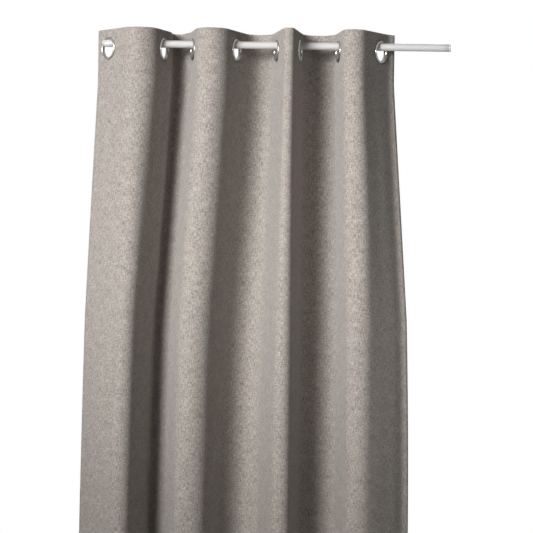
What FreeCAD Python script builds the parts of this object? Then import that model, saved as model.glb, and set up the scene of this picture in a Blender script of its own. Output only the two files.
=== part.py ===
"""Eyelet curtain panel hung in uneven pleats on a round rod.

Millimetres, +Z up, +X along the rod, -Y towards the room.
The origin is the centre of the rod's left end face.
"""
import FreeCAD, Part
import math
import os

os.makedirs("parts", exist_ok=True)
V = FreeCAD.Vector

# Rod
ROD_LENGTH = 755.0
ROD_DIA = 16.0
ROD_WALL = 1.0
PLUG_RIM = 4.0
PLUG_SPIGOT = 14.0
PLUG_SLIP = 0.1

# Panel as cut and hung
DROP = 2500.0
HEADING_ABOVE_ROD = 30.0
HEADING_HEIGHT = 110.0
HEM_HEIGHT = 100.0
FLARE_DEPTH = 900.0
CLOTH = 1.2
HEADING_THICKNESS = 2.2
HEM_THICKNESS = 2.4
SIDE_HEM_THICKNESS = 1.2
LAYER_GAP = 0.1
SECTION_GAP = 0.3
EYELET_SPACING = 178.6  # along the flat cloth
END_STRAIGHT = 28.0
END_ARC_LENGTH = 22.0
END_ARC_RADIUS = 30.0

# How the panel hangs: gaps between eyelets, the angle of the cloth to the rod at
# each eyelet, and how far each flank has wandered sideways below the flare.
FIRST_EYELET_X = 13.4
PITCHES = [118.4, 65.4, 92.2, 89.7, 47.5, 86.4, 89.6]
FLANK_DEG = [50.0, 70.0, 79.0, 68.0, 79.0, 80.0, 81.5, 57.0]
SPREAD = [-27.0, -40.0, -41.0, -39.0, -17.0, 4.0, 16.0, 38.0]
LOW_FLANK_DEG = [50.0, 70.0, 75.7, 70.0, 74.0, 77.0, 80.0, 54.0]

# Eyelets
BORE_DIA = 40.0
RIM_WIDTH = 4.3
BARREL_WALL = 1.0
FRONT_FLANGE = 2.6
BACK_FLANGE = 2.0
FLANGE_EDGE = 0.5
FLANGE_SHOULDER = 0.6  # share of the flange's height at its inner edge
SNAP_SLIP = 0.1
CLAMP_GAP = 0.3
HOLE_GAP = 0.5
HANG_GAP = 0.9  # between the bore's crown and the rod

rod_r = ROD_DIA / 2
bore_r = BORE_DIA / 2
flange_r = bore_r + RIM_WIDTH
barrel_r = bore_r + BARREL_WALL
stack = HEADING_THICKNESS / 2 + CLAMP_GAP
eyelet_z = rod_r + HANG_GAP - bore_r
eyelet_x = [FIRST_EYELET_X + sum(PITCHES[:k]) for k in range(len(PITCHES) + 1)]
count = len(eyelet_x)

heading_top = HEADING_ABOVE_ROD
heading_bottom = heading_top - HEADING_HEIGHT
flare_end = heading_top - FLARE_DEPTH
hem_bottom = heading_top - DROP
hem_top = hem_bottom + HEM_HEIGHT


def save(node, shape):
    shape.exportStep("parts/%s.step" % node)


def side(k):
    """-1 where the cloth runs to the front at eyelet k, +1 where it runs back."""
    return -1 if k % 2 == 0 else 1


def plan(xs, degrees):
    """Flanks and tangent crest arcs of the cloth's centreline, seen from above."""
    flanks = []
    for k, (x, deg) in enumerate(zip(xs, degrees)):
        flanks.append({"x": x, "angle": side(k) * math.radians(deg), "before": END_STRAIGHT,
                       "after": END_STRAIGHT})
    for k in range(count - 1):
        near, far = math.radians(degrees[k]), math.radians(degrees[k + 1])
        pitch = xs[k + 1] - xs[k]
        turn = near + far
        reach_near = pitch * math.sin(far) / math.sin(turn)
        reach_far = pitch * math.sin(near) / math.sin(turn)
        slack = reach_near + reach_far - EYELET_SPACING
        radius = slack / (2 * math.tan(turn / 2) - turn)
        tangent = radius * math.tan(turn / 2)
        bend = -side(k) * radius, turn / 2 - SECTION_GAP / 2 / radius
        flanks[k]["after"], flanks[k]["end_arc"] = reach_near - tangent, bend
        flanks[k + 1]["before"], flanks[k + 1]["start_arc"] = reach_far - tangent, bend
    end_turn = END_ARC_LENGTH / END_ARC_RADIUS
    flanks[0]["start_arc"] = -side(0) * END_ARC_RADIUS, end_turn
    flanks[-1]["end_arc"] = -side(count - 1) * END_ARC_RADIUS, end_turn
    return flanks


def left(angle):
    return V(-math.sin(angle), math.cos(angle), 0)


def arc_poses(point, angle, radius, turn):
    """Start, middle and end of an arc; a positive radius curves to the left."""
    centre = point + left(angle) * radius
    return [(centre - left(angle + turn * share) * radius, angle + turn * share)
            for share in (0, 0.5, 1)]


def flank_poses(flank):
    angle = flank["angle"]
    eyelet = V(flank["x"], 0, 0)
    ahead = V(math.cos(angle), math.sin(angle), 0)
    radius, turn = flank["start_arc"]
    start = arc_poses(eyelet - ahead * flank["before"], angle, radius,
                      -math.copysign(turn, radius))[::-1]
    radius, turn = flank["end_arc"]
    end = arc_poses(eyelet + ahead * flank["after"], angle, radius, math.copysign(turn, radius))
    return start, end


def shifted(poses, offset, z):
    return [point + left(angle) * offset + V(0, 0, z) for point, angle in poses]


def ribbon(runs, low, high, z):
    """Closed wire round a strip of cloth between two offsets from its centreline."""
    edges = []
    sides = [[shifted(run, offset, z) for run in runs] for offset in (low, high)]
    for arcs in sides:
        edges += [Part.Arc(*arc).toShape() for arc in arcs]
        edges += [Part.makeLine(a[-1], b[0]) for a, b in zip(arcs, arcs[1:])]
    edges.append(Part.makeLine(sides[0][0][0], sides[1][0][0]))
    edges.append(Part.makeLine(sides[0][-1][-1], sides[1][-1][-1]))
    return Part.Wire(Part.__sortEdges__(edges))


def strip(runs, low, high, bottom, height):
    return Part.Face(ribbon(runs, low, high, bottom)).extrude(V(0, 0, height))


def flared(top_runs, low_runs, low, high):
    """A strip that runs from under the heading to the hem, wandering as it flares."""
    wires = [ribbon(top_runs, low, high, heading_bottom),
             ribbon(low_runs, low, high, flare_end),
             ribbon(low_runs, low, high, hem_top)]
    return Part.makeLoft(wires, True, True)


def spun(points_and_arcs):
    """Solid of revolution about Y from edges in the XY plane."""
    face = Part.Face(Part.Wire(Part.__sortEdges__(points_and_arcs)))
    return face.revolve(V(0, 0, 0), V(0, 1, 0), 360)


def outline(points, dome_from, dome_top, dome_to):
    """Straight edges through the points, closed by one domed arc."""
    edges = [Part.makeLine(a, b) for a, b in zip(points, points[1:])]
    edges.append(Part.Arc(dome_from, dome_top, dome_to).toShape())
    return edges


def eyelet_front():
    mid = bore_r + RIM_WIDTH / 2
    shoulder = V(bore_r, -stack - FRONT_FLANGE * FLANGE_SHOULDER, 0)
    edge = V(flange_r, -stack - FLANGE_EDGE, 0)
    points = [edge, V(flange_r, -stack, 0), V(barrel_r, -stack, 0),
              V(barrel_r, stack + BACK_FLANGE, 0), V(bore_r, stack + BACK_FLANGE, 0), shoulder]
    return spun(outline(points, shoulder, V(mid, -stack - FRONT_FLANGE, 0), edge))


def eyelet_back():
    inner = barrel_r + SNAP_SLIP
    mid = (inner + flange_r) / 2
    shoulder = V(inner, stack + BACK_FLANGE * FLANGE_SHOULDER, 0)
    edge = V(flange_r, stack + FLANGE_EDGE, 0)
    points = [shoulder, V(inner, stack, 0), V(flange_r, stack, 0), edge]
    return spun(outline(points, edge, V(mid, stack + BACK_FLANGE, 0), shoulder))


def at_eyelet(shape, flank):
    placed = shape.copy()
    placed.rotate(V(0, 0, 0), V(0, 0, 1), math.degrees(flank["angle"]))
    placed.translate(V(flank["x"], 0, eyelet_z))
    return placed


def rod_parts():
    along = V(1, 0, 0)
    tube_start, tube_length = PLUG_RIM, ROD_LENGTH - 2 * PLUG_RIM
    tube = Part.makeCylinder(rod_r, tube_length, V(tube_start, 0, 0), along)
    hollow = Part.makeCylinder(rod_r - ROD_WALL, tube_length, V(tube_start, 0, 0), along)
    save("rod_tube", tube.cut(hollow))
    rim = Part.makeCylinder(rod_r, PLUG_RIM, V(0, 0, 0), along)
    spigot_r = rod_r - ROD_WALL - PLUG_SLIP
    spigot = Part.makeCylinder(spigot_r, PLUG_SPIGOT, V(PLUG_RIM, 0, 0), along)
    plug = rim.fuse(spigot).removeSplitter()
    save("rod_plug_left", plug)
    far = plug.mirror(V(0, 0, 0), along)
    far.translate(V(ROD_LENGTH, 0, 0))
    save("rod_plug_right", far)


def cloth_parts():
    top = plan(eyelet_x, FLANK_DEG)
    low = plan([x + move for x, move in zip(eyelet_x, SPREAD)], LOW_FLANK_DEG)
    half, heading_half, hem_half = CLOTH / 2, HEADING_THICKNESS / 2, HEM_THICKNESS / 2
    hole_depth = 4 * HEADING_THICKNESS
    hole = Part.makeCylinder(barrel_r + HOLE_GAP, hole_depth, V(0, -hole_depth / 2, 0), V(0, 1, 0))
    for k in range(count):
        top_runs, low_runs = flank_poses(top[k]), flank_poses(low[k])
        heading = strip(top_runs, -heading_half, heading_half, heading_bottom, HEADING_HEIGHT)
        save("heading_%d" % (k + 1), heading.cut(at_eyelet(hole, top[k])))
        save("drape_%d" % (k + 1), flared(top_runs, low_runs, -half, half))
        save("hem_%d" % (k + 1), strip(low_runs, -hem_half, hem_half, hem_bottom, HEM_HEIGHT))
        save("eyelet_front_%d" % (k + 1), at_eyelet(eyelet_front(), top[k]))
        save("eyelet_back_%d" % (k + 1), at_eyelet(eyelet_back(), top[k]))
    inner = half + LAYER_GAP
    outer = inner + SIDE_HEM_THICKNESS
    for name, flank, run in (("left", 0, 0), ("right", count - 1, 1)):
        top_run, low_run = flank_poses(top[flank])[run], flank_poses(low[flank])[run]
        save("side_hem_" + name, flared([top_run], [low_run], inner, outer))


rod_parts()
cloth_parts()
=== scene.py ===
import math

import bmesh
import bpy
from bpy.props import FloatProperty, FloatVectorProperty, IntProperty
from mathutils import Matrix, Vector, noise


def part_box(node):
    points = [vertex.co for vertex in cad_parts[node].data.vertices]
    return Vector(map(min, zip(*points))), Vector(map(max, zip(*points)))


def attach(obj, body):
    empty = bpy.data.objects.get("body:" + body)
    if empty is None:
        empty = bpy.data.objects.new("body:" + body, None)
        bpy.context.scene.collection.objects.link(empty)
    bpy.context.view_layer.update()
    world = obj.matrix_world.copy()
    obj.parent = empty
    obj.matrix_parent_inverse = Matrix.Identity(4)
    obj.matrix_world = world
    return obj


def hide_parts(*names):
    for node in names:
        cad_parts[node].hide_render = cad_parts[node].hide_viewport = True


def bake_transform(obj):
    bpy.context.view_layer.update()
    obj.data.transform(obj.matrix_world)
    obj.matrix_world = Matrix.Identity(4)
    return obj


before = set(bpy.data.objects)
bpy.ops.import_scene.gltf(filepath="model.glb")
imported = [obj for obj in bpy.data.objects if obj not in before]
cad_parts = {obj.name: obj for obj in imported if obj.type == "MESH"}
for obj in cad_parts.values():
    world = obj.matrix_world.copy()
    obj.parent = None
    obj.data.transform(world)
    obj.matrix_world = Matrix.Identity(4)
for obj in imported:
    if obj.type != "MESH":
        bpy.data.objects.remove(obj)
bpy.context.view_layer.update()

bl_info = {
    "name": "Eyelet curtain panel",
    "version": (1, 0, 0),
    "blender": (4, 5, 0),
    "location": "3D View > Sidebar > Curtain",
    "description": "Finishes an eyelet curtain panel on its rod around the packed frame",
    "category": "Object",
}

MM = 0.001
EYELETS = 8


# ---------------------------------------------------------------- sizes from the frame
def span(*nodes):
    """Lowest and highest corner of several CAD nodes together."""
    boxes = [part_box(node) for node in nodes]
    low = Vector(min(b[0][i] for b in boxes) for i in range(3))
    high = Vector(max(b[1][i] for b in boxes) for i in range(3))
    return low, high


def eyelet_centre(k):
    low, high = span("eyelet_front_%d" % k, "eyelet_back_%d" % k)
    return (low + high) / 2


ROD_LOW, ROD_HIGH = span("rod_tube", "rod_plug_left", "rod_plug_right")
PLUG_SPIGOT, PLUG_SLIP = 14 * MM, 0.1 * MM
PLUG_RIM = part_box("rod_tube")[0].x - ROD_LOW.x
EYELET_X = [eyelet_centre(k + 1).x for k in range(EYELETS)]
EYELET_Z = eyelet_centre(1).z
BARREL_WALL, SNAP_SLIP = 1 * MM, 0.1 * MM
FRONT_FLANGE, BACK_FLANGE, CLOTH_STACK = 2.6 * MM, 2.0 * MM, 2.8 * MM
FLANGE_R = (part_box("eyelet_front_1")[1].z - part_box("eyelet_front_1")[0].z) / 2
HEADING_BOTTOM, HEADING_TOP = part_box("heading_1")[0].z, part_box("heading_1")[1].z
HEM_BOTTOM, HEM_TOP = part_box("hem_1")[0].z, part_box("hem_1")[1].z


def body_of_eyelet(k):
    """The body that carries eyelet k, counted from 1."""
    return "rod" if k == 1 else "fold_8" if k == EYELETS else "eyelet_%d" % k


# ---------------------------------------------------------------- settings
class ClothSettings(bpy.types.PropertyGroup):
    width: FloatProperty(name="Flat width", description="Width of the panel as cut",
                         default=1.350, unit="LENGTH")
    thickness: FloatProperty(name="Thickness", description="Thickness of one layer of cloth",
                             default=0.9 * MM, unit="LENGTH")
    fold_gap: FloatProperty(name="Fold gap", description="Half the distance between folded layers",
                            default=0.7 * MM, unit="LENGTH")
    side_hem: FloatProperty(name="Side hem", description="Width of the hem down each edge",
                            default=25 * MM, unit="LENGTH")
    columns: IntProperty(name="Columns", description="Mesh columns across the panel", default=245)
    pale: FloatVectorProperty(name="Pale yarn", description="Colour of the palest yarn",
                              subtype="COLOR", default=(0.430, 0.388, 0.350))
    middle: FloatVectorProperty(name="Middle yarn", description="Colour of most of the yarn",
                                subtype="COLOR", default=(0.290, 0.261, 0.236))
    dark: FloatVectorProperty(name="Dark yarn", description="Colour of the darkest yarn",
                              subtype="COLOR", default=(0.160, 0.141, 0.125))


class HardwareSettings(bpy.types.PropertyGroup):
    bore: FloatProperty(name="Eyelet bore", description="Clear diameter of each eyelet",
                        default=40 * MM, unit="LENGTH")
    metal: FloatVectorProperty(name="Eyelet metal", description="Colour of the plated eyelets",
                               subtype="COLOR", default=(0.62, 0.60, 0.58))
    coat: FloatVectorProperty(name="Rod coat", description="Colour of the powder-coated rod",
                              subtype="COLOR", default=(0.50, 0.49, 0.48))
    rod_wall: FloatProperty(name="Rod wall", description="Wall of the rod tube",
                            default=1 * MM, unit="LENGTH")


# ---------------------------------------------------------------- plan of the pleats
EYELET_SPACING = 178.6 * MM
END_STRAIGHT = 28 * MM
END_ARC_LENGTH = 22 * MM
END_ARC_RADIUS = 30 * MM
FLANK_DEG = [50.0, 70.0, 79.0, 68.0, 79.0, 80.0, 81.5, 57.0]
LOW_FLANK_DEG = [50.0, 70.0, 75.7, 70.0, 74.0, 77.0, 79.0, 46.0]
SPREAD_MM = [-27.0, -40.0, -41.0, -39.0, -17.0, 4.0, 16.0, 38.0]
LEAN_MM = [0.0, -12.0, -2.0, 0.0, 0.0, 0.0, 0.0]
FLARE_DEPTH = 0.900         # below the panel's top, where the pleats stop moving sideways
FLARE_SOFTNESS = 0.35       # share of that depth over which they come to a stop
CLAMPED_SHARE = 0.58        # of the cloth's thickness, left between an eyelet's flanges
CLAMP_REACH = 9 * MM        # beyond the flange, where the cloth has its full thickness again
EYELET_CLEAR = 26 * MM      # from an eyelet's centre, inside which the cloth lies flat
HOLE_MARGIN = 3.3 * MM      # from an eyelet's bore to the cut edge of the cloth


def side(k):
    """-1 where the cloth runs to the front at an eyelet, +1 where it runs back."""
    return -1 if k % 2 == 0 else 1


def left(angle):
    return Vector((-math.sin(angle), math.cos(angle), 0))


def ahead(angle):
    return Vector((math.cos(angle), math.sin(angle), 0))


class Plan:
    """The cloth's centreline seen from above: flanks through the eyelets, round crests."""

    def __init__(self, xs, degrees):
        angles = [math.radians(d) for d in degrees]
        end_turn = END_ARC_LENGTH / END_ARC_RADIUS
        runs = [(END_ARC_LENGTH, -side(0) * END_ARC_RADIUS)]
        straight = END_STRAIGHT
        for k in range(EYELETS - 1):
            near, far = angles[k], angles[k + 1]
            pitch, turn = xs[k + 1] - xs[k], near + far
            reach_near = pitch * math.sin(far) / math.sin(turn)
            reach_far = pitch * math.sin(near) / math.sin(turn)
            slack = reach_near + reach_far - EYELET_SPACING
            radius = slack / (2 * math.tan(turn / 2) - turn)
            tangent = radius * math.tan(turn / 2)
            runs.append((straight + reach_near - tangent, None))
            runs.append((radius * turn, -side(k) * radius))
            straight = reach_far - tangent
        runs.append((straight + END_STRAIGHT, None))
        runs.append((END_ARC_LENGTH, -side(EYELETS - 1) * END_ARC_RADIUS))
        self.runs = []
        point, angle, at = Vector((0, 0, 0)), side(0) * angles[0] + side(0) * end_turn, 0.0
        for length, radius in runs:
            self.runs.append((at, length, radius, point, angle))
            point, angle = self.step(point, angle, radius, length)
            at += length
        shift = Vector((xs[0], 0, 0)) - self.at(END_ARC_LENGTH + END_STRAIGHT)[0]
        self.runs = [(start, length, radius, point + shift, angle)
                     for start, length, radius, point, angle in self.runs]

    @staticmethod
    def step(point, angle, radius, distance):
        if radius is None:
            return point + ahead(angle) * distance, angle
        centre = point + left(angle) * radius
        after = angle + distance / radius
        return centre - left(after) * radius, after

    def at(self, u):
        """Point and direction of the cloth at a distance along its width."""
        for start, length, radius, point, angle in self.runs:
            if u <= start + length:
                break
        return self.step(point, angle, radius, u - start)


TOP_PLAN = Plan(EYELET_X, FLANK_DEG)
LOW_PLAN = Plan([x + s * MM for x, s in zip(EYELET_X, SPREAD_MM)], LOW_FLANK_DEG)
END_MARGIN = END_STRAIGHT + END_ARC_LENGTH


def eyelet_u(k):
    return END_MARGIN + k * EYELET_SPACING


def ease(x):
    x = min(max(x, 0.0), 1.0)
    return x * x * (3 - 2 * x)


def flare(z):
    """How far the cloth has moved from its plan at the heading to its plan lower down."""
    depth = (HEADING_BOTTOM - z) / (FLARE_DEPTH - (HEADING_TOP - HEADING_BOTTOM))
    soft = FLARE_SOFTNESS
    if depth < 0:
        return 0.0
    if depth < 1 - soft:
        return depth / (1 - soft / 2)
    if depth > 1 + soft:
        return 1.0
    t = (depth - (1 - soft)) / (2 * soft)
    start = (1 - soft) / (1 - soft / 2)
    return start + (1 - start) * (1 - (1 - t) ** 2)


def ripple(u, z):
    """Small unevenness of hanging cloth, along its normal."""
    near = min(abs(u - eyelet_u(k)) for k in range(EYELETS))
    free = ease((near - EYELET_CLEAR) / (40 * MM))
    below = ease((HEADING_TOP - z) / 0.35)
    calm = free * (1 - below) + below
    long_wave = noise.noise(Vector((u * 9.0, z * 1.1, 3.7)))
    short_wave = noise.noise(Vector((u * 24.0, z * 2.3, 8.1)))
    return calm * (3.0 * MM * long_wave * (0.35 + 0.65 * below) + 1.1 * MM * short_wave)


def lean(u):
    """Sideways lean of a pleat's crest, which leaves the cloth at the eyelets where it is."""
    place = (u - END_MARGIN) / EYELET_SPACING
    crest = math.floor(place)
    if not 0 <= crest < EYELETS - 1:
        return 0.0
    from_eyelet = min(place - crest, crest + 1 - place)
    return LEAN_MM[crest] * MM * ease((from_eyelet - 0.17) / 0.33)


def pinch(u, z):
    """Share of its thickness that the cloth keeps where an eyelet's flanges clamp it."""
    near = min(math.hypot(u - eyelet_u(k), z - EYELET_Z) for k in range(EYELETS))
    return CLAMPED_SHARE + (1 - CLAMPED_SHARE) * ease((near - FLANGE_R) / CLAMP_REACH)


def cloth_point(u, z, offset=0.0):
    """Where a point of the flat panel hangs."""
    offset *= pinch(u, z)
    share = flare(z)
    top, top_angle = TOP_PLAN.at(u)
    low, low_angle = LOW_PLAN.at(u)
    angle = top_angle * (1 - share) + low_angle * share
    point = top.lerp(low, share) + left(angle) * (offset + ripple(u, z))
    return point + Vector((lean(u), 0, z)), angle


# ---------------------------------------------------------------- mesh helpers
def new_object(name, bm, material, smooth=True):
    mesh = bpy.data.meshes.new(name)
    bm.to_mesh(mesh)
    bm.free()
    mesh.polygons.foreach_set("use_smooth", [smooth] * len(mesh.polygons))
    obj = bpy.data.objects.new(name, mesh)
    bpy.context.scene.collection.objects.link(obj)
    mesh.materials.append(material)
    return obj


def apply_modifiers(obj):
    evaluated = obj.evaluated_get(bpy.context.evaluated_depsgraph_get())
    mesh = bpy.data.meshes.new_from_object(evaluated)
    obj.modifiers.clear()
    obj.data = mesh


def thicken(obj, thickness):
    solid = obj.modifiers.new("Thickness", "SOLIDIFY")
    solid.thickness = thickness
    solid.offset = 0
    apply_modifiers(obj)


def spun(points, axis_point, axis, steps=96):
    """A bmesh of an outline spun a full turn about an axis."""
    bm = bmesh.new()
    verts = [bm.verts.new(p) for p in points]
    edges = [bm.edges.new((a, b)) for a, b in zip(verts, verts[1:] + verts[:1])]
    bmesh.ops.spin(bm, geom=verts + edges, cent=axis_point, axis=axis, angle=math.tau,
                   steps=steps, use_merge=True, use_duplicate=False)
    bmesh.ops.remove_doubles(bm, verts=bm.verts, dist=1e-7)
    bmesh.ops.recalc_face_normals(bm, faces=bm.faces)
    return bm


# ---------------------------------------------------------------- materials
def material(name):
    mat = bpy.data.materials.new(name)
    mat.use_nodes = True
    nodes = mat.node_tree.nodes
    shader = next(n for n in nodes if n.type == "BSDF_PRINCIPLED")
    return mat, nodes, mat.node_tree.links, shader


def noise_node(nodes, links, vector, scale, detail=2.0, roughness=0.5):
    node = nodes.new("ShaderNodeTexNoise")
    node.inputs["Scale"].default_value = scale
    node.inputs["Detail"].default_value = detail
    node.inputs["Roughness"].default_value = roughness
    links.new(vector, node.inputs["Vector"])
    return node.outputs["Fac"]


def stretched(nodes, links, vector, scale):
    node = nodes.new("ShaderNodeMapping")
    node.inputs["Scale"].default_value = scale
    links.new(vector, node.inputs["Vector"])
    return node.outputs["Vector"]


def maths(nodes, links, operation, a, b):
    node = nodes.new("ShaderNodeMath")
    node.operation = operation
    for socket, value in zip(node.inputs, (a, b)):
        if isinstance(value, float):
            socket.default_value = value
        else:
            links.new(value, socket)
    return node.outputs[0]


def ramp(nodes, links, factor, stops):
    node = nodes.new("ShaderNodeValToRGB")
    elements = node.color_ramp.elements
    while len(elements) < len(stops):
        elements.new(0.5)
    for element, (place, colour) in zip(elements, stops):
        element.position = place
        element.color = (*colour, 1.0)
    links.new(factor, node.inputs["Fac"])
    return node.outputs["Color"]


def bump(nodes, links, shader, height, strength, distance):
    node = nodes.new("ShaderNodeBump")
    node.inputs["Strength"].default_value = strength
    node.inputs["Distance"].default_value = distance
    links.new(height, node.inputs["Height"])
    links.new(node.outputs["Normal"], shader.inputs["Normal"])


def cloth_material(settings):
    """Heathered plain weave: slubs along warp and weft in three yarn colours."""
    mat, nodes, links, shader = material("heathered_taupe_weave")
    uv = nodes.new("ShaderNodeUVMap")
    uv.uv_map = "flat_cut"
    flat = uv.outputs["UV"]
    warp = noise_node(nodes, links, stretched(nodes, links, flat, (520.0, 95.0, 1.0)), 1.0, 3.0)
    weft = noise_node(nodes, links, stretched(nodes, links, flat, (110.0, 560.0, 1.0)), 1.0, 3.0)
    fleck = noise_node(nodes, links, stretched(nodes, links, flat, (260.0, 230.0, 1.0)), 1.0,
                       4.0, 0.65)
    cloud = noise_node(nodes, links, flat, 42.0, 2.0)
    yarns = maths(nodes, links, "ADD", maths(nodes, links, "MULTIPLY", warp, 0.34),
                  maths(nodes, links, "MULTIPLY", weft, 0.26))
    mixed = maths(nodes, links, "ADD", yarns, maths(nodes, links, "MULTIPLY", fleck, 0.30))
    mixed = maths(nodes, links, "ADD", mixed, maths(nodes, links, "MULTIPLY", cloud, 0.10))
    colour = ramp(nodes, links, mixed, [(0.40, settings.dark), (0.50, settings.middle),
                                        (0.61, settings.pale)])
    links.new(colour, shader.inputs["Base Color"])
    separate = nodes.new("ShaderNodeSeparateXYZ")
    links.new(flat, separate.inputs["Vector"])
    pitch = math.tau / (0.9 * MM)
    across, down = (maths(nodes, links, "SINE",
                          maths(nodes, links, "MULTIPLY", separate.outputs[axis], pitch), 0.0)
                    for axis in "XY")
    weave = maths(nodes, links, "MULTIPLY", across, down)
    height = maths(nodes, links, "ADD", maths(nodes, links, "MULTIPLY", weave, 0.35), mixed)
    bump(nodes, links, shader, height, 0.5, 0.4 * MM)
    shader.inputs["Roughness"].default_value = 0.92
    shader.inputs["Specular IOR Level"].default_value = 0.2
    shader.inputs["Sheen Weight"].default_value = 0.25
    shader.inputs["Sheen Roughness"].default_value = 0.5
    return mat


def thread_material(settings):
    mat, nodes, links, shader = material("taupe_thread")
    coords = nodes.new("ShaderNodeTexCoord").outputs["Object"]
    twist = noise_node(nodes, links, coords, 900.0)
    links.new(ramp(nodes, links, twist, [(0.35, settings.dark), (0.65, settings.middle)]),
              shader.inputs["Base Color"])
    shader.inputs["Roughness"].default_value = 0.7
    shader.inputs["Sheen Weight"].default_value = 0.3
    bump(nodes, links, shader, twist, 0.4, 0.1 * MM)
    return mat


def metal_material(settings):
    mat, nodes, links, shader = material("satin_nickel_plate")
    coords = nodes.new("ShaderNodeTexCoord").outputs["Object"]
    brushed = noise_node(nodes, links, coords, 420.0, 4.0)
    tint = [c * 0.86 for c in settings.metal]
    links.new(ramp(nodes, links, brushed, [(0.3, tint), (0.7, settings.metal)]),
              shader.inputs["Base Color"])
    rough = nodes.new("ShaderNodeMapRange")
    rough.inputs["To Min"].default_value = 0.18
    rough.inputs["To Max"].default_value = 0.32
    links.new(brushed, rough.inputs["Value"])
    links.new(rough.outputs["Result"], shader.inputs["Roughness"])
    shader.inputs["Metallic"].default_value = 1.0
    bump(nodes, links, shader, brushed, 0.15, 0.05 * MM)
    return mat


def coat_material(settings, name, gloss):
    """White powder coat with a faint orange-peel surface."""
    mat, nodes, links, shader = material(name)
    coords = nodes.new("ShaderNodeTexCoord").outputs["Object"]
    peel = noise_node(nodes, links, coords, 650.0, 3.0)
    shade = [c * 0.95 for c in settings.coat]
    links.new(ramp(nodes, links, peel, [(0.3, shade), (0.7, settings.coat)]),
              shader.inputs["Base Color"])
    shader.inputs["Roughness"].default_value = gloss
    bump(nodes, links, shader, peel, 0.12, 0.05 * MM)
    return mat


def shared(name, maker, *args):
    """A material made once and used by several pieces."""
    return bpy.data.materials.get(name) or maker(*args)


# ---------------------------------------------------------------- cloth
def profile(cloth):
    """The panel's course from the heading's inner edge, over the top, down, and up the hem.

    Returns rows of (distance along the cloth, height, offset from the centreline)."""
    gap = cloth.fold_gap
    rows = []
    at = 0.0

    def straight(z0, z1, offset, step):
        nonlocal at
        number = max(2, round(abs(z1 - z0) / step))
        for i in range(number + 1):
            rows.append((at + abs(z1 - z0) * i / number, z0 + (z1 - z0) * i / number, offset))
        at += abs(z1 - z0)

    def fold(z, way):
        nonlocal at
        steps = 4
        for i in range(1, steps):
            turn = math.pi * i / steps
            rows.append((at + gap * turn, z + way * gap * math.sin(turn),
                         way * gap * math.cos(turn)))
        at += math.pi * gap

    top, bottom = HEADING_TOP - gap, HEM_BOTTOM + gap
    fine, coarse = 5.5 * MM, 19 * MM
    straight(HEADING_BOTTOM, top, gap, fine)
    fold(top, 1)
    straight(top, HEADING_BOTTOM, -gap, fine)
    rows.pop()
    straight(HEADING_BOTTOM, bottom, -gap, coarse)
    fold(bottom, -1)
    straight(bottom, HEM_TOP, gap, coarse)
    return rows


def cut_holes(bm, centres, radius):
    """Opens round holes in a flat sheet: faces inside go, and the rims are drawn to the circle."""
    for centre in centres:
        inside = [f for f in bm.faces if (f.calc_center_median() - centre).length < radius]
        bmesh.ops.delete(bm, geom=inside, context="FACES")
        for vert in bm.verts:
            away = vert.co - centre
            if vert.is_boundary and away.length < radius * 1.5:
                vert.co = centre + away.normalized() * radius


def hang(bm, rows_z):
    """Stores the flat cut as UVs, then hangs every vertex: x is u, y the row's distance."""
    layer = bm.loops.layers.uv.new("flat_cut")
    for face in bm.faces:
        for loop in face.loops:
            loop[layer].uv = loop.vert.co.xy
    for vert in bm.verts:
        z, offset = rows_z(vert.co.y)
        vert.co = cloth_point(vert.co.x, z, offset)[0]


def row_lookup(rows):
    def find(distance):
        for (d0, z0, o0), (d1, z1, o1) in zip(rows, rows[1:]):
            if distance <= d1 + 1e-9:
                t = (distance - d0) / (d1 - d0)
                return z0 + (z1 - z0) * t, o0 + (o1 - o0) * t
        return rows[-1][1:]
    return find


def flat_grid(columns, us, distances):
    """A grid of faces laid flat, with its columns and rows at the given places."""
    bm = bmesh.new()
    count = len(distances) - 1
    bmesh.ops.create_grid(bm, x_segments=columns, y_segments=count, size=0.5)
    for vert in bm.verts:
        column = round((vert.co.x + 0.5) * columns)
        row = round((vert.co.y + 0.5) * count)
        vert.co = Vector((us(column / columns), distances[row], 0))
    return bm


class CURTAIN_OT_panel(bpy.types.Operator):
    """Hang the woven panel, with its folded heading and bottom hem in one piece"""
    bl_idname = "curtain.panel"
    bl_label = "Woven panel"

    def execute(self, context):
        cloth = context.scene.curtain_cloth
        rows = profile(cloth)
        bm = flat_grid(cloth.columns, lambda t: t * cloth.width, [row[0] for row in rows])
        back = EYELET_Z - HEADING_BOTTOM
        heading = HEADING_TOP - HEADING_BOTTOM
        front = heading + (math.pi - 2) * cloth.fold_gap + HEADING_TOP - EYELET_Z
        radius = context.scene.curtain_hardware.bore / 2 + HOLE_MARGIN
        centres = [Vector((eyelet_u(k), v, 0)) for k in range(EYELETS) for v in (back, front)]
        cut_holes(bm, centres, radius)
        hang(bm, row_lookup(rows))
        obj = new_object("woven_panel", bm, shared("heathered_taupe_weave", cloth_material, cloth))
        thicken(obj, cloth.thickness)
        cad = ["%s_%d" % (kind, k + 1) for k in range(EYELETS) for kind in ("heading", "drape", "hem")]
        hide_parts(*cad)
        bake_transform(obj)
        return {"FINISHED"}


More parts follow.
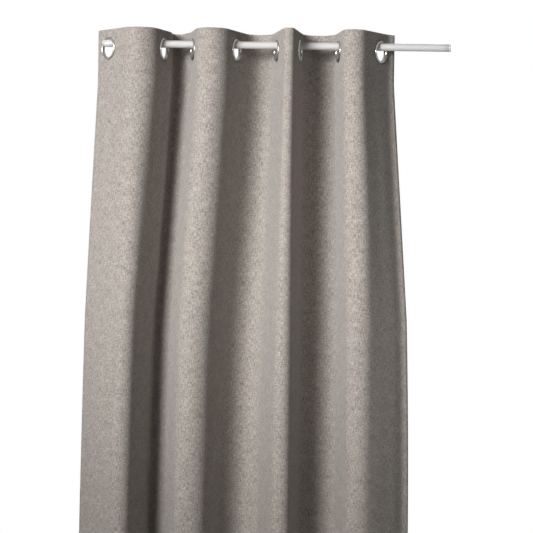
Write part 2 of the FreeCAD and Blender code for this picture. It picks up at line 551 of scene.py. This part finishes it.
class CURTAIN_OT_side_hems(bpy.types.Operator):
    """Turn a narrow hem to the back down each edge of the panel"""
    bl_idname = "curtain.side_hems"
    bl_label = "Side hems"

    def execute(self, context):
        cloth = context.scene.curtain_cloth
        rows, tuck = 130, 1 * MM
        length = HEM_TOP - HEADING_BOTTOM + 2 * tuck
        heights = [HEADING_BOTTOM - tuck + length * i / rows for i in range(rows + 1)]
        for name, body, start in (("left", "rod", 0.5 * MM),
                                  ("right", "fold_8", cloth.width - 0.5 * MM - cloth.side_hem)):
            bm = flat_grid(6, lambda t: start + t * cloth.side_hem, [-z for z in heights])
            hang(bm, lambda distance: (-distance, cloth.fold_gap))
            obj = new_object("side_hem_%s_cloth" % name, bm,
                             shared("heathered_taupe_weave", cloth_material, cloth))
            thicken(obj, cloth.thickness)
            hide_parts("side_hem_" + name)
            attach(obj, body)
        return {"FINISHED"}


def stitch(bm, centre, along, across, length, width):
    """One short stitch that lies along the cloth."""
    made = bmesh.ops.create_icosphere(bm, subdivisions=1, radius=1.0)
    out = along.cross(across).normalized()
    frame_of = Matrix((along * length / 2, across * width / 2, out * width / 2)).transposed()
    bmesh.ops.transform(bm, matrix=Matrix.Translation(centre) @ frame_of.to_4x4(),
                        verts=made["verts"])


class CURTAIN_OT_stitching(bpy.types.Operator):
    """Sew the heading, the bottom hem and both side hems with rows of stitches"""
    bl_idname = "curtain.stitching"
    bl_label = "Stitching"

    stitch_length: FloatProperty(name="Stitch length", description="Length of one stitch",
                                 default=3.4 * MM, unit="LENGTH")
    stitch_pitch: FloatProperty(name="Stitch pitch", description="Distance between stitches",
                                default=5 * MM, unit="LENGTH")

    def execute(self, context):
        cloth = context.scene.curtain_cloth
        faces_out = cloth.fold_gap + cloth.thickness / 2
        thread = shared("taupe_thread", thread_material, cloth)
        self.across("heading_stitches", HEADING_BOTTOM + 4 * MM, cloth, faces_out, thread)
        self.across("hem_stitches", HEM_TOP - 4 * MM, cloth, faces_out, thread)
        self.down("side_stitches_left", 22 * MM, cloth, faces_out, thread, "rod")
        self.down("side_stitches_right", cloth.width - 22 * MM, cloth, faces_out, thread, "fold_8")
        return {"FINISHED"}

    def across(self, name, z, cloth, faces_out, thread):
        bm = bmesh.new()
        for i in range(int((cloth.width - 10 * MM) / self.stitch_pitch)):
            u = 6 * MM + i * self.stitch_pitch
            for face in (-faces_out, faces_out):
                centre, angle = cloth_point(u, z, face)
                stitch(bm, centre, ahead(angle), Vector((0, 0, 1)), self.stitch_length, 0.5 * MM)
        obj = new_object(name, bm, thread)
        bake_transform(obj)

    def down(self, name, u, cloth, faces_out, thread, body):
        bm = bmesh.new()
        pitch = 1.6 * self.stitch_pitch
        for i in range(int((HEADING_BOTTOM - HEM_TOP) / pitch)):
            z = HEADING_BOTTOM - (i + 0.5) * pitch
            for face in (-faces_out, faces_out):
                centre, angle = cloth_point(u, z, face)
                above = cloth_point(u, z + pitch / 2, face)[0]
                along = (above - centre).normalized()
                stitch(bm, centre, along, ahead(angle), self.stitch_length, 0.5 * MM)
        obj = new_object(name, bm, thread)
        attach(obj, body)


# ---------------------------------------------------------------- rod and eyelets
class CURTAIN_OT_rod(bpy.types.Operator):
    """Finish the round rod and its two end plugs"""
    bl_idname = "curtain.rod"
    bl_label = "Rod"

    def execute(self, context):
        hardware = context.scene.curtain_hardware
        radius = (ROD_HIGH.z - ROD_LOW.z) / 2
        inner = radius - hardware.rod_wall
        start, end, edge = ROD_LOW.x + PLUG_RIM, ROD_HIGH.x - PLUG_RIM, 0.25 * MM
        lengths = 48
        outside = [(start + edge + (end - start - 2 * edge) * i / lengths, 0, radius)
                   for i in range(lengths + 1)]
        points = [(start, 0, inner), (start, 0, radius - edge), *outside,
                  (end, 0, radius - edge), (end, 0, inner)]
        bm = spun(points, (0, 0, 0), (1, 0, 0), 72)
        tube = new_object("rod_tube_coated", bm, coat_material(hardware, "white_powder_coat", 0.38))
        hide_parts("rod_tube")
        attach(tube, "rod")
        plastic = coat_material(hardware, "white_plug_plastic", 0.45)
        for name, face, way in (("left", ROD_LOW.x, 1), ("right", ROD_HIGH.x, -1)):
            dish, lip = 0.8 * MM, 0.6 * MM
            rim = [(dish, 0.0001 * MM), (dish, 0.62 * radius), (0.2 * MM, 0.74 * radius),
                   (0, 0.80 * radius), (0, radius - lip), (0.18 * MM, radius - 0.18 * MM),
                   (lip, radius), (PLUG_RIM - 0.3 * MM, radius), (PLUG_RIM, radius - 0.3 * MM),
                   (PLUG_RIM, inner - PLUG_SLIP), (PLUG_RIM + PLUG_SPIGOT, inner - PLUG_SLIP),
                   (PLUG_RIM + PLUG_SPIGOT, 0.0001 * MM)]
            bm = spun([(face + way * x, 0, r) for x, r in rim], (0, 0, 0), (1, 0, 0), 72)
            plug = new_object("rod_plug_%s_moulded" % name, bm, plastic)
            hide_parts("rod_plug_" + name)
            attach(plug, "rod")
        return {"FINISHED"}


def domed(start, top, end, steps=10):
    """Points of an arch from start over top to end, as (radius, depth) pairs."""
    points = []
    for i in range(steps + 1):
        t = i / steps
        rise = math.sin(math.pi * t)
        base = start[0] + (end[0] - start[0]) * t, start[1] + (end[1] - start[1]) * t
        points.append((base[0], base[1] + (top - (start[1] + end[1]) / 2) * rise))
    return points


class CURTAIN_OT_eyelets(bpy.types.Operator):
    """Press a two-part metal eyelet into the heading at each hole"""
    bl_idname = "curtain.eyelets"
    bl_label = "Eyelets"

    def execute(self, context):
        hardware = context.scene.curtain_hardware
        metal = metal_material(hardware)
        bore = hardware.bore / 2
        barrel, stack = bore + BARREL_WALL, CLOTH_STACK / 2
        front, back, bevel = FRONT_FLANGE, BACK_FLANGE, 0.2 * MM
        lip = domed((bore, -stack - 0.6 * front), -stack - front, (FLANGE_R, -stack - 0.5 * MM), 14)
        front_outline = [*lip, (FLANGE_R, -stack), (barrel, -stack),
                         (barrel, stack + back - bevel), (barrel - bevel, stack + back),
                         (bore + bevel, stack + back), (bore, stack + back - bevel)]
        inner = barrel + SNAP_SLIP
        lip = domed((inner, stack + 0.6 * back), stack + back, (FLANGE_R, stack + 0.5 * MM), 12)
        back_outline = [*lip, (FLANGE_R, stack), (inner, stack)]
        for k in range(EYELETS):
            turn = Matrix.Rotation(side(k) * math.radians(FLANK_DEG[k]), 4, "Z")
            place = Matrix.Translation((EYELET_X[k], 0, EYELET_Z)) @ turn
            for half, outline in (("front", front_outline), ("back", back_outline)):
                bm = spun([(r, y, 0) for r, y in outline], (0, 0, 0), (0, 1, 0))
                bmesh.ops.transform(bm, matrix=place, verts=bm.verts)
                ring = new_object("eyelet_%s_%d_plated" % (half, k + 1), bm, metal)
                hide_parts("eyelet_%s_%d" % (half, k + 1))
                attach(ring, body_of_eyelet(k + 1))
        return {"FINISHED"}


class CURTAIN_OT_declare(bpy.types.Operator):
    """An empty step: it states nothing about the panel's flat cut size."""
    bl_idname = "curtain.declare"
    bl_label = "Flat cut"

    def execute(self, context):
        return {"FINISHED"}


# ---------------------------------------------------------------- stage
FLOOR_GAP, FLOOR_HALF = 25 * MM, 3.4
CAMERA_AT = Vector((0.3622, -4.5, -0.4796))


def aim(obj, target, roll=0.0):
    look = (Vector(target) - obj.location).to_track_quat("-Z", "Y").to_matrix().to_4x4()
    obj.matrix_world = Matrix.Translation(obj.location) @ look @ Matrix.Rotation(roll, 4, "Z")


def soft_spot(name, place, target, radius, degrees, watts):
    """A large soft spot whose pool of light fades out towards its rim."""
    lamp = bpy.data.lights.new(name, "SPOT")
    lamp.shadow_soft_size = radius
    lamp.spot_size = math.radians(degrees)
    lamp.spot_blend = 1.0
    lamp.energy = watts
    obj = bpy.data.objects.new(name, lamp)
    bpy.context.scene.collection.objects.link(obj)
    obj.location = place
    aim(obj, target)


class CURTAIN_OT_stage(bpy.types.Operator):
    """Set out the pale floor, which glows with painted light growing brighter away from the curtain, the
    soft studio light and the camera
    """
    bl_idname = "curtain.stage"
    bl_label = "Stage"

    def execute(self, context):
        scene = context.scene
        bm = bmesh.new()
        bmesh.ops.create_grid(bm, x_segments=1, y_segments=1, size=FLOOR_HALF)
        mat, nodes, links, shader = material("self_lit_floor")
        shader.inputs["Base Color"].default_value = (0.86, 0.86, 0.86, 1)
        shader.inputs["Roughness"].default_value = 0.8
        # Painted light: the floor glows by emission, weakest near the curtain and brighter further out,
        # standing in for a lit floor and the light it bounces
        shader.inputs["Emission Color"].default_value = (1, 1, 1, 1)
        place = nodes.new("ShaderNodeTexCoord").outputs["Object"]
        distance = nodes.new("ShaderNodeVectorMath")
        distance.operation = "LENGTH"
        links.new(place, distance.inputs[0])
        painted_floor_glow = nodes.new("ShaderNodeMapRange")
        painted_floor_glow.interpolation_type = "SMOOTHSTEP"
        for socket, value in (("From Min", 0.8), ("From Max", 2.6),
                              ("To Min", 0.24), ("To Max", 0.46)):
            painted_floor_glow.inputs[socket].default_value = value
        links.new(distance.outputs["Value"], painted_floor_glow.inputs["Value"])
        links.new(painted_floor_glow.outputs["Result"], shader.inputs["Emission Strength"])
        floor = new_object("floor", bm, mat, smooth=False)
        middle = (EYELET_X[0] + EYELET_X[-1]) / 2
        floor.location = (0.3, 0, HEM_BOTTOM - FLOOR_GAP)

        world = bpy.data.worlds.new("studio")
        scene.world = world
        world.use_nodes = True
        nodes, links = world.node_tree.nodes, world.node_tree.links
        nodes.clear()
        output = nodes.new("ShaderNodeOutputWorld")
        mix = nodes.new("ShaderNodeMixShader")
        seen, lit = nodes.new("ShaderNodeBackground"), nodes.new("ShaderNodeBackground")
        seen.inputs["Color"].default_value = (1, 1, 1, 1)
        seen.inputs["Strength"].default_value = 1.0
        lit.inputs["Color"].default_value = (1, 1, 1, 1)
        lit.inputs["Strength"].default_value = 0.03
        path = nodes.new("ShaderNodeLightPath")
        mirrored = maths(nodes, links, "MULTIPLY", path.outputs["Is Glossy Ray"], 0.5)
        links.new(maths(nodes, links, "ADD", path.outputs["Is Camera Ray"], mirrored), mix.inputs["Fac"])
        links.new(lit.outputs[0], mix.inputs[1])
        links.new(seen.outputs[0], mix.inputs[2])
        links.new(mix.outputs[0], output.inputs["Surface"])

        pool = (middle, 0, -0.24)
        soft_spot("key", (middle - 1.6, -2.6, 0.35), pool, 0.95, 31, 1750)
        soft_spot("fill", (middle + 1.3, -3.2, 0.1), pool, 0.6, 27, 60)

        low = (middle, 0, HEM_BOTTOM + 0.45)
        soft_spot("low", (middle - 1.2, -2.6, HEM_BOTTOM + 0.45), low, 0.4, 30, 400)
        soft_spot("back", (middle + 1.4, 3.2, -0.6), (middle, 0, -1.2), 0.9, 60, 620)

        camera = bpy.data.cameras.new("camera")
        camera.lens = 140.0
        camera.sensor_width = 36.0
        eye = bpy.data.objects.new("camera", camera)
        scene.collection.objects.link(eye)
        eye.location = CAMERA_AT
        aim(eye, (CAMERA_AT.x, 0, CAMERA_AT.z), math.radians(0.83))
        scene.camera = eye
        scene.view_settings.view_transform = "Standard"
        return {"FINISHED"}


# ---------------------------------------------------------------- panel and running
STEPS = (CURTAIN_OT_panel, CURTAIN_OT_side_hems, CURTAIN_OT_stitching, CURTAIN_OT_rod,
         CURTAIN_OT_eyelets, CURTAIN_OT_declare, CURTAIN_OT_stage)


class CURTAIN_PT_tools(bpy.types.Panel):
    bl_label = "Eyelet curtain"
    bl_idname = "CURTAIN_PT_tools"
    bl_space_type = "VIEW_3D"
    bl_region_type = "UI"
    bl_category = "Curtain"

    def draw(self, context):
        layout = self.layout
        for group in (context.scene.curtain_cloth, context.scene.curtain_hardware):
            box = layout.box()
            for name in group.__annotations__:
                box.prop(group, name)
        for step in STEPS:
            layout.operator(step.bl_idname)


CLASSES = (ClothSettings, HardwareSettings, *STEPS, CURTAIN_PT_tools)


def register():
    for cls in CLASSES:
        bpy.utils.register_class(cls)
    bpy.types.Scene.curtain_cloth = bpy.props.PointerProperty(type=ClothSettings)
    bpy.types.Scene.curtain_hardware = bpy.props.PointerProperty(type=HardwareSettings)


def unregister():
    del bpy.types.Scene.curtain_hardware
    del bpy.types.Scene.curtain_cloth
    for cls in reversed(CLASSES):
        bpy.utils.unregister_class(cls)


def main():
    register()
    for step in STEPS:
        group, name = step.bl_idname.split(".")
        getattr(getattr(bpy.ops, group), name)()


if __name__ == "__main__":
    main()
